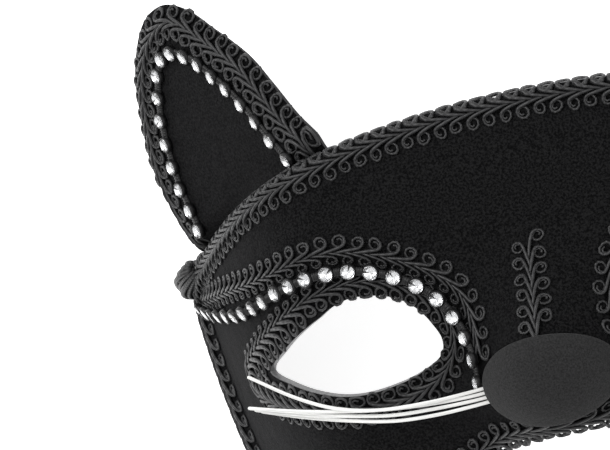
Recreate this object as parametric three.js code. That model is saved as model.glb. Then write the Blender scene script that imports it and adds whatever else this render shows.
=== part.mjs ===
// A black velvet cat half mask, lying face up on its two side edges.
// Millimetres. While it is drawn, X = 0 is the middle of the face and Y = 0 the
// level of the nose; Y grows towards the ears and Z out of the face. The left
// half is drawn (left as seen when facing the mask) and mirrored to the right.
import * as THREE from 'three';
import { mergeVertices } from 'three/addons/utils/BufferGeometryUtils.js';

// The moulded face, as a height above the table
const BROW_HEIGHT = 55;
const BROW_LEVEL = 38;
const CHEEK_FALL = 0.004;
const FLAT_HALF_WIDTH = 44;
const SIDE_FALL = 0.064;
const SIDE_POWER = 1.76;
const NOSE_RISE = 18;
const NOSE_ROOT = 31;
const NOSE_HALF_WIDTH_ROOT = 10;
const NOSE_HALF_WIDTH_TIP = 16;
const NOSE_TUCK = 14;
const NOSE_TUCK_SHARE = 0.3;

// The shell, drawn as spokes from the eye hole to the top, side, bottom and middle
const SHELL_THICKNESS = 1.8;
const SHELL_ROWS = 5;
const SPOKES = { top: 12, side: 6, bottom: 15, middle: 12 };
const EYE_CENTRE = [-44, 12.5];
const RIM_HEIGHT = 1.7;
const GAP = 0.3;

// The middle of the finished part in Y, moved to Y = 0 at the end
const MIDDLE_Y = 28.6;

// Loop braid
const LOOP_PITCH = 4.5;
const BRAID_HALF_WIDTH = 3.6;
const BRAID_THICKNESS = 1.5;
const BRAID_SHOULDER = 0.5;
const LOOP_DEPTH = 0.8;
const LOOP_SAG = 0.32;

// Where the rhinestones lie over two braids, from this level up, they press them narrower
const BRAID_PRESSED = 1.1;
const PRESS_LEVEL = 2;
const PRESS_BLEND = 6;

// The braid round the edge of the mask, with its fold at the temple
const EDGE_REACH = 5.6;
const EDGE_OVERHANG = 1.5;
const EDGE_SHOULDER = 0.6;
const TEMPLE = [-87, 31];
const TEMPLE_FOLD = 4.6;
const TEMPLE_FOLD_WIDTH = 5;

// Rhinestones on a flexible band
const STONE_PITCH = 5.1;
const STONE_HALF_WIDTH = 1.75;
const STONE_HEIGHT = 1.7;
const SETTING_TAPER = 0.72;
const BAND_HALF_WIDTH = 0.8;
const BAND_TAPER = 0.8;
const BAND_THICKNESS = 0.7;
const STEPS_TO_STONE = 12;

// Ears: a flat plane turned outwards and leaning forwards, with a rim rolled back
const EAR_TURN = 38.6;
const EAR_LEAN = -7.2;
const EAR_ORIGIN = new THREE.Vector3(-58, 43, 38.6);
const EAR_THICKNESS = 1.4;
const EAR_SETBACK = 2.8;
const EAR_FOOT = { below: 1, height: 6 };
const EAR_ROLL = 2.8;
const EAR_ROLL_WIDTH = 9;
const EAR_ROWS = 14;
const EAR_ROWS_TO_FOOT = 1.35;
const EAR_COLUMNS = 6;
const EAR_SIDE_STEPS = 400;

// Near the temple the rim rolls back further, and the rhinestones press the braid narrower
const TEMPLE_ROLL = { more: 3.2, up: 20, from: -10, across: 15 };
const TEMPLE_PRESS = { slope: 0.19, up: 21.5 };

// The top edge of the face as it crosses the ear's plane, a parabola
const EDGE_ON_EAR = { across: 20, up: 10.2, slope: 0.183, bend: 0.0031 };

// The ear's trimmings lie clear of its sheet. Its braid runs inside its outline, above the face.
const EAR_TRIM_CLEAR = 0.7;
const EAR_BRAID_INSET = 2.4;
const EAR_BRAID_START = 2;

// Nose pad and whiskers
const PAD_CENTRE_Y = -1;
const PAD_HALF_WIDTH = 12;
const PAD_HALF_HEIGHT = 8;
const PAD_CLEAR = 2.8;
const PAD_EDGE = 1;
const PAD_CROWN = 1.6;
const PAD_SIDES = 16;
const PAD_RINGS = [0.4, 0.72, 0.92, 1];
const WHISKER_RADIUS = 0.38;
const WHISKER_SIDES = 4;
const WHISKER_STEPS = 8;

const TOP_EDGE = [
  [0, 57.2], [-10, 57], [-21, 56.2], [-31, 55], [-41, 53.2], [-51, 50.6],
  [-60, 47.5], [-68, 44], [-75, 40.4], [-81, 37.1], [-86, 33.4], [-88.8, 29.2],
];
const RIM_LEVELS = [23, 15, 7, -1, -9, -17];
const BOTTOM_EDGE = [
  [-80.9, -24], [-77.8, -28.6], [-72, -31.8], [-64, -33.2], [-55, -32.6], [-46, -30.2],
  [-37, -26.2], [-29, -21.4], [-22, -17.2], [-15, -14.5], [-8, -13.4], [0, -13.2],
];
const EYE_HOLE = [
  [-67.2, 9.8], [-61, 14], [-55.2, 17.3], [-50.1, 20.4], [-45.1, 22.8], [-40.6, 23.8],
  [-35.5, 23.3], [-30.9, 21.8], [-26.8, 18.9], [-23.8, 14.4], [-22.8, 10.6], [-24.3, 7.2],
  [-30.7, 3.8], [-37, 2.3], [-43, 1.8], [-48.9, 2.4], [-55, 4], [-61.6, 6.6],
];
const EYE_BRAID = [
  [-73.8, 11.4], [-68.4, 15.8], [-62.4, 19.2], [-55.4, 22.4], [-47.8, 25], [-40, 26],
  [-33.6, 25.1], [-28.2, 22.9], [-24, 19.6], [-21, 15.4], [-20, 10.8], [-21.4, 6.6],
  [-25.6, 2.6], [-31, 0.2], [-37, -1.1], [-45, -1.4], [-53, -0.8], [-61, 0.6],
  [-68, 2.6], [-73.4, 5.8],
];
const BROW_BRAID = [
  [-83.6, 27], [-79.4, 27.8], [-73.9, 28.7], [-67.4, 29.5], [-57.6, 31.2], [-50, 32.8], [-42.6, 33.2],
  [-35, 31.5], [-27, 28], [-20.6, 23.8], [-16.6, 19], [-14.9, 13.6], [-14.6, 8.6], [-15.2, 3.2],
];
const BROW_STONES = [
  [-87.3, 24.9], [-80, 24.2], [-72.3, 23.8], [-64, 25.1], [-56, 27.2], [-48.2, 28.9],
  [-41.5, 29.1], [-34.2, 27.6], [-29.3, 25.5], [-25.3, 22.7], [-21.5, 19.1], [-18.5, 14.5],
  [-16.7, 9.7], [-15.9, 4.9], [-15.8, -1.6],
];
const BRIDGE_BRAID = [[0, 7.6], [0, 17], [0, 27]];

// In the plane of the ear, from its foot at the temple round the tip to the other foot
const EAR_OUTLINE = [
  [-24.4, -10.2], [-30.7, -4.7], [-34, 2.8], [-36.1, 8.8], [-37.2, 14.7], [-35.9, 23.4],
  [-32.7, 32.7], [-28.2, 40], [-23.7, 44.5], [-19, 47], [-14.7, 47.5], [-10.1, 46.5],
  [-1.3, 42.3], [6.5, 35.6], [13.4, 27.6], [17.6, 21.3], [21.3, 14.6], [26.8, 7.6],
];
const EAR_STONES = [
  [-27.1, -1.1], [-28.4, 4.7], [-28.9, 12.5], [-28.1, 20.5], [-26.3, 27.4], [-23, 34.4],
  [-18.5, 38.9], [-14.4, 39.9], [-10, 38.3], [-4.2, 34.3], [1.3, 29.3], [7.3, 21.3],
  [10.4, 16.3], [15, 9.6],
];

const WHISKERS = [
  [[-11, -0.9, 61.1], [-13.6, -1, 59.9], [-18, -1.2, 61], [-27, -1.3, 63], [-37, -0.6, 64.4],
    [-46, 1.6, 64.6], [-54, 5.4, 64], [-63.9, 11.8, 62.4]],
  [[-11, -1.9, 60.7], [-13.6, -2, 59.7], [-18, -2.1, 60.8], [-27, -1.8, 61.8],
    [-37, -0.8, 62.8], [-47.7, 1, 63], [-57, 3, 62.4], [-65.7, 5.2, 61.4]],
  [[-11, -2.9, 60.6], [-13.6, -3, 59.6], [-18, -3.1, 60.6], [-26, -3, 61.4],
    [-35, -2.5, 61.8], [-45, -0.7, 61.7], [-55, 1.6, 61], [-64.9, 4.4, 59.8]],
  [[-11, -3.9, 60.4], [-13.6, -4, 59.5], [-18, -4.2, 60.3], [-26, -4.4, 60.6],
    [-35, -3.9, 60.6], [-45, -1.9, 60.2], [-55, 0.8, 59.4], [-64.1, 3.7, 58.2]],
];

const VELVET = { color: 0x17171a, roughness: 0.95 };
const BRAID = { color: 0x202024, roughness: 0.7 };
const STONE = { color: 0xdde2e8, roughness: 0.1 };
const PAD = { color: 0x3b3b3c, roughness: 1 };
const NYLON = { color: 0xe8e8e4, roughness: 0.4 };

function smoothstep(value) {
  const t = Math.min(1, Math.max(0, value));
  return t * t * (3 - 2 * t);
}

function noseHeight(x, y) {
  const down = smoothstep((NOSE_ROOT - y) / NOSE_ROOT);
  const halfWidth = THREE.MathUtils.lerp(NOSE_HALF_WIDTH_ROOT, NOSE_HALF_WIDTH_TIP,
    Math.min(1, Math.max(0, (NOSE_ROOT - y) / NOSE_ROOT)));
  const tuck = Math.min(1, Math.max(0, -y / NOSE_TUCK));
  return NOSE_RISE * down * (1 - NOSE_TUCK_SHARE * tuck * tuck) * Math.exp(-((x / halfWidth) ** 2));
}

function browHeight(y) {
  return BROW_HEIGHT - CHEEK_FALL * (y - BROW_LEVEL) ** 2;
}

function faceHeight(x, y) {
  const side = Math.max(0, Math.abs(x) - FLAT_HALF_WIDTH);
  return browHeight(y) - SIDE_FALL * side ** SIDE_POWER + noseHeight(x, y);
}

function facePoint(x, y) {
  return new THREE.Vector3(x, y, faceHeight(x, y));
}

// How far out the face comes down to the rim at this level
function rimPoint(y) {
  const side = ((browHeight(y) - RIM_HEIGHT) / SIDE_FALL) ** (1 / SIDE_POWER);
  return [-(FLAT_HALF_WIDTH + side), y];
}

function frameAt(surface, u, v) {
  const step = 0.05;
  const alongU = surface(u + step, v).sub(surface(u - step, v)).divideScalar(2 * step);
  const alongV = surface(u, v + step).sub(surface(u, v - step)).divideScalar(2 * step);
  const normal = alongU.clone().cross(alongV).normalize();
  return { alongU, alongV, normal };
}

function lifted(surface, u, v, lift) {
  const { normal } = frameAt(surface, u, v);
  return surface(u, v).addScaledVector(normal, lift);
}

// Steps a given distance over a surface, in a direction given in space
function stepOver(surface, u, v, direction, distance) {
  const { alongU, alongV } = frameAt(surface, u, v);
  const uu = alongU.dot(alongU);
  const uv = alongU.dot(alongV);
  const vv = alongV.dot(alongV);
  const du = alongU.dot(direction);
  const dv = alongV.dot(direction);
  const scale = distance / (uu * vv - uv * uv);
  return [u + (du * vv - dv * uv) * scale, v + (dv * uu - du * uv) * scale];
}

// The ear's own surface: tucked behind the face at its foot, flat above, rolled at the rim
const turn = THREE.MathUtils.degToRad(EAR_TURN);
const lean = THREE.MathUtils.degToRad(EAR_LEAN);
const EAR_ACROSS = new THREE.Vector3(Math.cos(turn), 0, Math.sin(turn));
const EAR_UP = new THREE.Vector3(Math.sin(turn) * Math.sin(lean), Math.cos(lean),
  -Math.cos(turn) * Math.sin(lean));
const EAR_OUT = EAR_ACROSS.clone().cross(EAR_UP);
const EAR_EDGE = smoothPath(EAR_OUTLINE, false, 90);

function distanceToOutline(outline, a, b) {
  let nearest = Infinity;
  for (let i = 0; i + 1 < outline.length; i += 1) {
    const [ax, ay] = outline[i];
    const [bx, by] = outline[i + 1];
    const length2 = (bx - ax) ** 2 + (by - ay) ** 2;
    const t = Math.min(1, Math.max(0, ((a - ax) * (bx - ax) + (b - ay) * (by - ay)) / length2));
    nearest = Math.min(nearest, Math.hypot(a - ax - t * (bx - ax), b - ay - t * (by - ay)));
  }
  return nearest;
}

// Height of a point of the ear above the top edge of the face, in the ear's plane
function aboveEdge(a, b) {
  const along = EDGE_ON_EAR.across - a;
  return b - (EDGE_ON_EAR.up - EDGE_ON_EAR.slope * along - EDGE_ON_EAR.bend * along * along);
}

function insideOutline(outline, a, b) {
  let inside = false;
  for (let i = 0, j = outline.length - 1; i < outline.length; j = i, i += 1) {
    const [ax, ay] = outline[i];
    const [bx, by] = outline[j];
    if (ay > b !== by > b && a < ((bx - ax) * (b - ay)) / (by - ay) + ax) {
      inside = !inside;
    }
  }
  return inside;
}

function earPoint(a, b) {
  const point = EAR_ORIGIN.clone().addScaledVector(EAR_ACROSS, a).addScaledVector(EAR_UP, b);
  const above = aboveEdge(a, b);
  const free = smoothstep((above + EAR_FOOT.below) / EAR_FOOT.height);
  const { normal } = frameAt(facePoint, point.x, point.y);
  const behind = SHELL_THICKNESS + EAR_SETBACK + EAR_THICKNESS / 2;
  const tucked = faceHeight(point.x, point.y) - behind / normal.z;
  point.z = THREE.MathUtils.lerp(tucked, point.z, free);
  const edge = distanceToOutline(EAR_EDGE, a, b) * (insideOutline(EAR_EDGE, a, b) ? 1 : -1);
  const roll = Math.min(2, Math.max(0, 1 - edge / EAR_ROLL_WIDTH));
  const temple = smoothstep(1 - above / TEMPLE_ROLL.up)
    * smoothstep((TEMPLE_ROLL.from - a) / TEMPLE_ROLL.across);
  const depth = EAR_ROLL + TEMPLE_ROLL.more * temple;
  return point.addScaledVector(EAR_OUT, -depth * free * roll * roll);
}

function smoothPath(points, closed, count) {
  const spaced = points.map(([u, v]) => new THREE.Vector3(u, v, 0));
  const curve = new THREE.CatmullRomCurve3(spaced, closed, 'centripetal');
  const samples = curve.getPoints(count);
  if (closed) samples.pop();
  return samples.map((p) => [p.x, p.y]);
}

// A fine path with the distance gone, as measured over the surface it lies on
function measured(surface, points, closed) {
  const fine = smoothPath(points, closed, points.length * 16);
  if (closed) fine.push(fine[0]);
  const lengths = [0];
  for (let i = 1; i < fine.length; i += 1) {
    const step = surface(...fine[i]).distanceTo(surface(...fine[i - 1]));
    lengths.push(lengths[i - 1] + step);
  }
  return { fine, lengths };
}

function evenPath(surface, points, closed, steps) {
  const { fine, lengths } = measured(surface, points, closed);
  const total = lengths[lengths.length - 1];
  const path = [];
  let at = 0;
  for (let i = 0; i < (closed ? steps : steps + 1); i += 1) {
    const wanted = (total * i) / steps;
    while (at < fine.length - 2 && lengths[at + 1] < wanted) at += 1;
    const t = (wanted - lengths[at]) / (lengths[at + 1] - lengths[at]);
    path.push([
      THREE.MathUtils.lerp(fine[at][0], fine[at + 1][0], t),
      THREE.MathUtils.lerp(fine[at][1], fine[at + 1][1], t),
    ]);
  }
  return path;
}

// The same, with a whole number of repeats of about the given pitch
function repeatPath(surface, points, closed, pitch, stepsEach) {
  const { lengths } = measured(surface, points, closed);
  const repeats = Math.round(lengths[lengths.length - 1] / pitch);
  return evenPath(surface, points, closed, repeats * stepsEach);
}

function geometryOf(points, triangles) {
  const geometry = new THREE.BufferGeometry().setFromPoints(points);
  geometry.setIndex(outward(points, triangles).flat());
  return geometry;
}

// The other half's copy, with its faces still pointing out
function mirrored(geometry) {
  const copy = geometry.clone().scale(-1, 1, 1);
  const corners = Array.from(copy.index.array);
  for (let i = 0; i < corners.length; i += 3) {
    [corners[i + 1], corners[i + 2]] = [corners[i + 2], corners[i + 1]];
  }
  return copy.setIndex(corners);
}

function signedVolume(points, triangles) {
  let volume = 0;
  for (const [a, b, c] of triangles) {
    volume += points[a].dot(points[b].clone().cross(points[c]));
  }
  return volume / 6;
}

function outward(points, triangles) {
  if (signedVolume(points, triangles) > 0) return triangles;
  return triangles.map(([a, b, c]) => [a, c, b]);
}

// A closed skin through rings of equal size; an open run of rings gets flat ends
function skin(rings, closed, endTriangles) {
  const size = rings[0].length;
  const points = rings.flat();
  const triangles = [];
  const runs = closed ? rings.length : rings.length - 1;
  for (let i = 0; i < runs; i += 1) {
    const here = i * size;
    const next = ((i + 1) % rings.length) * size;
    for (let j = 0; j < size; j += 1) {
      const k = (j + 1) % size;
      triangles.push([here + j, next + j, next + k], [here + j, next + k, here + k]);
    }
  }
  if (!closed) {
    const last = (rings.length - 1) * size;
    for (const [a, b, c] of endTriangles) {
      triangles.push([a, b, c], [last + a, last + c, last + b]);
    }
  }
  return geometryOf(points, triangles);
}

function fan(size) {
  const triangles = [];
  for (let j = 1; j + 1 < size; j += 1) triangles.push([0, j, j + 1]);
  return triangles;
}

// Sweeps a section over a surface. Section points are [across, lift], across being
// positive to the left of the direction of the path.
function sweepOver(surface, path, closed, sectionAt, floor = -Infinity) {
  const rings = path.map(([u, v], i) => {
    const before = path[closed ? (i + path.length - 1) % path.length : Math.max(0, i - 1)];
    const after = path[closed ? (i + 1) % path.length : Math.min(path.length - 1, i + 1)];
    const { normal } = frameAt(surface, u, v);
    const along = surface(...after).sub(surface(...before)).normalize();
    const left = normal.clone().cross(along).normalize();
    return sectionAt(i, u, v).map(([across, lift]) => {
      const [p, q] = stepOver(surface, u, v, left, across);
      const point = lifted(surface, p, q, lift);
      point.z = Math.max(floor, point.z);
      return point;
    });
  });
  return skin(rings, closed, fan(rings[0].length));
}

// The braid's two rows of loops show as scallops along both its long sides.
// Under the rhinestones the loops of two braids are pressed together.
function braidSection(i, pressedLeft = 0, pressedRight = 0) {
  const between = i % 2;
  const left = BRAID_HALF_WIDTH - pressedLeft - between * LOOP_DEPTH;
  const right = BRAID_HALF_WIDTH - pressedRight - between * LOOP_DEPTH;
  const top = GAP + BRAID_THICKNESS - between * LOOP_SAG;
  return [[-right, GAP], [BRAID_SHOULDER - right, top], [left - BRAID_SHOULDER, top], [left, GAP]];
}

// Over the crest of the nose bridge the braid bends along its middle and lies a little proud
function crestSection(i) {
  const [a, b, c, d] = braidSection(i).map(([across, lift]) => [across, lift + 0.5 * GAP]);
  return [a, b, [0, b[1]], c, d, [0, a[1]]];
}

// The edge braid is folded round the edge, so that its outer loops stand past it
function edgeSection(i, fold) {
  const between = i % 2;
  const inner = EDGE_REACH - fold / 2 - between * LOOP_DEPTH;
  const outer = -(EDGE_OVERHANG + fold - between * LOOP_DEPTH / 2);
  const top = GAP + BRAID_THICKNESS + fold / 2 - between * LOOP_SAG;
  return [
    [inner, GAP], [-2 * GAP, GAP], [outer + GAP, -SHELL_THICKNESS],
    [outer, top - EDGE_SHOULDER], [inner - BRAID_SHOULDER, top],
  ];
}

// Three rings a stone: the bare band between two stones, then both shoulders of a setting
function stoneSection(i, base) {
  const between = i % 3 === 0;
  const foot = between ? BAND_HALF_WIDTH : STONE_HALF_WIDTH;
  const head = foot * (between ? BAND_TAPER : SETTING_TAPER);
  const top = base + (between ? BAND_THICKNESS : STONE_HEIGHT);
  return [[-foot, base], [-head, top], [head, top], [foot, base]];
}

// Even rings along a chain, drawn apart over each stone and together between stones
function stonePath(surface, points) {
  const even = repeatPath(surface, points, false, STONE_PITCH, STEPS_TO_STONE);
  const quarter = STEPS_TO_STONE / 4;
  const path = [];
  for (let i = 0; i + STEPS_TO_STONE < even.length; i += STEPS_TO_STONE) {
    path.push(even[i], even[i + quarter], even[i + 3 * quarter]);
  }
  path.push(even[even.length - 1]);
  return path;
}

function halfOutline() {
  return [...TOP_EDGE, ...RIM_LEVELS.map(rimPoint), ...BOTTOM_EDGE];
}

function crossing(loop, centre, angle) {
  const [cx, cy] = centre;
  const dx = Math.cos(angle);
  const dy = Math.sin(angle);
  let best = null;
  for (let i = 0; i < loop.length; i += 1) {
    const [ax, ay] = loop[i];
    const [bx, by] = loop[(i + 1) % loop.length];
    const cross = dx * (by - ay) - dy * (bx - ax);
    const reach = ((ax - cx) * (by - ay) - (ay - cy) * (bx - ax)) / cross;
    const t = ((ax - cx) * dy - (ay - cy) * dx) / cross;
    if (reach > 0 && t >= -1e-9 && t <= 1 + 1e-9) best = [cx + dx * reach, cy + dy * reach];
  }
  return best;
}

// Half the shell as spokes from the eye hole out to the edge, with a front and a back
function shellHalf() {
  const side = [TOP_EDGE.at(-1), ...RIM_LEVELS.map(rimPoint), BOTTOM_EDGE[0]];
  const runs = [
    evenPath(facePoint, TOP_EDGE, false, SPOKES.top),
    evenPath(facePoint, side, false, SPOKES.side),
    evenPath(facePoint, BOTTOM_EDGE, false, SPOKES.bottom),
    evenPath(facePoint, [BOTTOM_EDGE.at(-1), [0, EYE_CENTRE[1]], TOP_EDGE[0]], false, SPOKES.middle),
  ];
  const outer = runs.flatMap((run) => run.slice(0, -1));
  const eye = smoothPath(EYE_HOLE, true, 240);
  const [cx, cy] = EYE_CENTRE;
  const inner = outer.map(([x, y]) => crossing(eye, EYE_CENTRE, Math.atan2(y - cy, x - cx)));
  const toCorner = ([x, y]) => Math.hypot(x - EYE_HOLE[0][0], y - EYE_HOLE[0][1]);
  const nearest = inner.reduce((best, p, i) => (toCorner(p) < toCorner(inner[best]) ? i : best), 0);
  inner[nearest] = EYE_HOLE[0];
  const points = [];
  for (const lift of [0, -SHELL_THICKNESS]) {
    for (const [i, [ox, oy]] of outer.entries()) {
      const [ex, ey] = inner[i];
      for (let row = 0; row <= SHELL_ROWS; row += 1) {
        const t = row / SHELL_ROWS;
        points.push(lifted(facePoint, ex + (ox - ex) * t, ey + (oy - ey) * t, lift));
      }
    }
  }
  const stride = SHELL_ROWS + 1;
  const spokes = outer.length;
  const back = spokes * stride;
  const triangles = [];
  for (let i = 0; i < spokes; i += 1) {
    const here = i * stride;
    const next = ((i + 1) % spokes) * stride;
    for (let row = 0; row < SHELL_ROWS; row += 1) {
      const [a, b, c, d] = [here + row, here + row + 1, next + row + 1, next + row];
      triangles.push([a, b, c], [a, c, d]);
      triangles.push([back + a, back + c, back + b], [back + a, back + d, back + c]);
    }
    triangles.push([here, next, back + next], [here, back + next, back + here]);
    const [e, f] = [here + SHELL_ROWS, next + SHELL_ROWS];
    const onMiddle = points[e].x > -1e-6 && points[f].x > -1e-6;
    if (!onMiddle) triangles.push([e, back + f, f], [e, back + e, back + f]);
  }
  return { points, triangles };
}

function maskShell() {
  const { points, triangles } = shellHalf();
  const count = points.length;
  const right = points.map((p) => new THREE.Vector3(-p.x, p.y, p.z));
  const rightTriangles = triangles.map(([a, b, c]) => [count + a, count + c, count + b]);
  return geometryOf([...points, ...right], [...triangles, ...rightTriangles]);
}

// A sheet between the two sides of the ear's outline, drawn as a ladder up to the tip
function earSheet() {
  const rows = EAR_ROWS;
  const across = EAR_COLUMNS;
  const flat = (a, b) => new THREE.Vector3(a, b, 0);
  const sides = evenPath(flat, EAR_EDGE, false, EAR_SIDE_STEPS);
  const sideAt = (row) => Math.round((row / rows) ** EAR_ROWS_TO_FOOT * EAR_SIDE_STEPS / 2);
  const points = [];
  for (const lift of [EAR_THICKNESS / 2, -EAR_THICKNESS / 2]) {
    for (let i = 0; i < rows; i += 1) {
      const [la, lb] = sides[sideAt(i)];
      const [ra, rb] = sides[EAR_SIDE_STEPS - sideAt(i)];
      for (let j = 0; j <= across; j += 1) {
        const t = j / across;
        points.push(lifted(earPoint, la + (ra - la) * t, lb + (rb - lb) * t, lift));
      }
    }
    points.push(lifted(earPoint, ...sides[EAR_SIDE_STEPS / 2], lift));
  }
  const stride = across + 1;
  const back = rows * stride + 1;
  const tip = rows * stride;
  const triangles = [];
  const front = (a, b, c) => triangles.push([a, b, c], [back + a, back + c, back + b]);
  const wall = (a, b) => triangles.push([b, a, back + a], [b, back + a, back + b]);
  for (let i = 0; i + 1 < rows; i += 1) {
    for (let j = 0; j < across; j += 1) {
      const here = i * stride + j;
      front(here, here + 1, here + 1 + stride);
      front(here, here + 1 + stride, here + stride);
    }
    wall((i + 1) * stride, i * stride);
    wall(i * stride + across, (i + 1) * stride + across);
  }
  const last = (rows - 1) * stride;
  for (let j = 0; j < across; j += 1) {
    front(last + j, last + j + 1, tip);
    wall(j, j + 1);
  }
  wall(tip, last);
  wall(last + across, tip);
  return geometryOf(points, triangles);
}

// The run of the ear's braid: a set distance inside the outline, above the face
function earBraidRun() {
  const run = EAR_EDGE.map((p, i) => {
    const before = EAR_EDGE[Math.max(0, i - 1)];
    const after = EAR_EDGE[Math.min(EAR_EDGE.length - 1, i + 1)];
    const inwards = EAR_BRAID_INSET / Math.hypot(after[0] - before[0], after[1] - before[1]);
    return [p[0] + (after[1] - before[1]) * inwards, p[1] - (after[0] - before[0]) * inwards];
  });
  return run.filter(([a, b]) => aboveEdge(a, b) > EAR_BRAID_START);
}

function nosePad() {
  const around = PAD_SIDES;
  const rows = PAD_RINGS.length;
  const points = [];
  const pointAt = (spread, angle, lift) => {
    const x = PAD_HALF_WIDTH * spread * Math.cos(angle);
    const y = PAD_CENTRE_Y + PAD_HALF_HEIGHT * spread * Math.sin(angle);
    return lifted(facePoint, x, y, lift);
  };
  const rise = (spread) => smoothstep((spread - PAD_RINGS[0]) / (PAD_RINGS[1] - PAD_RINGS[0]));
  const clearAt = (spread) => GAP + (PAD_CLEAR - GAP) * rise(spread);
  const crownAt = (spread) => PAD_CLEAR + PAD_EDGE + PAD_CROWN * (1 - spread * spread);
  for (const liftAt of [crownAt, clearAt]) {
    points.push(pointAt(0, 0, liftAt(0)));
    for (const spread of PAD_RINGS) {
      for (let j = 0; j < around; j += 1) {
        points.push(pointAt(spread, (2 * Math.PI * j) / around, liftAt(spread)));
      }
    }
  }
  const back = 1 + rows * around;
  const triangles = [];
  for (let j = 0; j < around; j += 1) {
    const k = (j + 1) % around;
    triangles.push([0, 1 + j, 1 + k], [back, back + 1 + k, back + 1 + j]);
    for (let row = 1; row < rows; row += 1) {
      const [a, b] = [1 + (row - 1) * around + j, 1 + (row - 1) * around + k];
      const [c, d] = [a + around, b + around];
      triangles.push([a, c, d], [a, d, b]);
      triangles.push([back + a, back + d, back + c], [back + a, back + b, back + d]);
    }
    const [e, f] = [1 + (rows - 1) * around + j, 1 + (rows - 1) * around + k];
    triangles.push([e, back + e, back + f], [e, back + f, f]);
  }
  return geometryOf(points, triangles);
}

function whisker(controls) {
  const curve = new THREE.CatmullRomCurve3(controls.map((p) => new THREE.Vector3(...p)));
  const section = new THREE.Shape(new THREE.EllipseCurve(0, 0, WHISKER_RADIUS, WHISKER_RADIUS)
    .getPoints(WHISKER_SIDES).slice(1));
  const tube = new THREE.ExtrudeGeometry(section, { steps: WHISKER_STEPS, extrudePath: curve });
  tube.deleteAttribute('normal');
  tube.deleteAttribute('uv');
  return mergeVertices(tube);
}

const group = new THREE.Group();
group.name = 'cat_eye_mask';

function add(name, geometry, look) {
  const mesh = new THREE.Mesh(geometry.translate(0, -MIDDLE_Y, 0));
  mesh.geometry.computeVertexNormals();
  mesh.material = new THREE.MeshStandardMaterial(look);
  mesh.name = name;
  group.add(mesh);
}

// The same solid on both sides of the face
function addPair(stem, suffix, geometry, look) {
  const other = mirrored(geometry);
  add(`${stem}_left${suffix}`, geometry, look);
  add(`${stem}_right${suffix}`, other, look);
}

add('mask_shell', maskShell(), VELVET);
addPair('ear', '', earSheet(), VELVET);

const leftEdge = halfOutline();
const rightEdge = leftEdge.slice(1, -1).reverse().map(([x, y]) => [-x, y]);
const edgePath = repeatPath(facePoint, [...leftEdge, ...rightEdge], true, LOOP_PITCH, 2);
add('edge_braid', sweepOver(facePoint, edgePath, true, (i, x, y) => {
  const fromTemple = Math.hypot(Math.abs(x) + TEMPLE[0], y - TEMPLE[1]);
  return edgeSection(i, TEMPLE_FOLD * Math.exp(-((fromTemple / TEMPLE_FOLD_WIDTH) ** 2)));
}, 0), BRAID);

const eyePath = repeatPath(facePoint, EYE_BRAID, true, LOOP_PITCH, 2);
addPair('eye_braid', '', sweepOver(facePoint, eyePath, true,
  (i, x, y) => braidSection(i, BRAID_PRESSED * smoothstep((y - PRESS_LEVEL) / PRESS_BLEND))), BRAID);
const browPath = repeatPath(facePoint, BROW_BRAID, false, LOOP_PITCH, 2);
addPair('brow_braid', '', sweepOver(facePoint, browPath, false,
  (i) => braidSection(i, 0, BRAID_PRESSED)), BRAID);
const bridgePath = repeatPath(facePoint, BRIDGE_BRAID, false, LOOP_PITCH, 2);
add('bridge_braid', sweepOver(facePoint, bridgePath, false, crestSection), BRAID);

const browStones = stonePath(facePoint, BROW_STONES);
const overBraid = GAP + BRAID_THICKNESS + GAP;
addPair('brow_rhinestones', '',
  sweepOver(facePoint, browStones, false, (i) => stoneSection(i, overBraid)), STONE);

const earBraidPath = repeatPath(earPoint, earBraidRun(), false, LOOP_PITCH, 2);
const onEar = EAR_THICKNESS / 2 + EAR_TRIM_CLEAR;
addPair('ear_braid', '', sweepOver(earPoint, earBraidPath, false, (i, a, b) => {
  const pressed = a < 0 ? TEMPLE_PRESS.slope * Math.max(0, TEMPLE_PRESS.up - aboveEdge(a, b)) : 0;
  return braidSection(i, 0, pressed).map(([across, lift]) => [across, lift + onEar]);
}), BRAID);
const earStones = stonePath(earPoint, EAR_STONES);
addPair('ear_rhinestones', '',
  sweepOver(earPoint, earStones, false, (i) => stoneSection(i, onEar + GAP)), STONE);

add('nose_pad', nosePad(), PAD);
WHISKERS.forEach((controls, i) => addPair('whisker', `_${i + 1}`, whisker(controls), NYLON));

export default group;
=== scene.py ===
import math

import bmesh
import bpy
import numpy as np
from mathutils import Matrix, Vector


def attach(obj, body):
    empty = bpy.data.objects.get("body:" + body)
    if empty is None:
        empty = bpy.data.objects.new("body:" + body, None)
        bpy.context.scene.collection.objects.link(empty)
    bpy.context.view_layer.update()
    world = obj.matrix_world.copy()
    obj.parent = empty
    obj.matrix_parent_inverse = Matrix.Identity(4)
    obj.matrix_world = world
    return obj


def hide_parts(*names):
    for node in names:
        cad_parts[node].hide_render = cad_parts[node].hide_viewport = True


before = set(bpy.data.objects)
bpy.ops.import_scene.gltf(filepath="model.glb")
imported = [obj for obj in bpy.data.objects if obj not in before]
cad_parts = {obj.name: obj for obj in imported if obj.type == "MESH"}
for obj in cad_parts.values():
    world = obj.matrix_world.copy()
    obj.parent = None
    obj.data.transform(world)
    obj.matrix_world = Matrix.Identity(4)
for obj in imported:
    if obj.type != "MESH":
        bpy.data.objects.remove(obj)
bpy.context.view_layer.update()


# Camera
# It looks down on the face of the lying mask, turned towards the left temple and the ear.
LOOK_AT = Vector((-0.04903, 0.01113, 0.045))
DISTANCE = 0.8026
TURN = math.radians(16.29)
RISE = math.radians(1.86)
ROLL = math.radians(13.29)
LENS = 221.7

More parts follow.
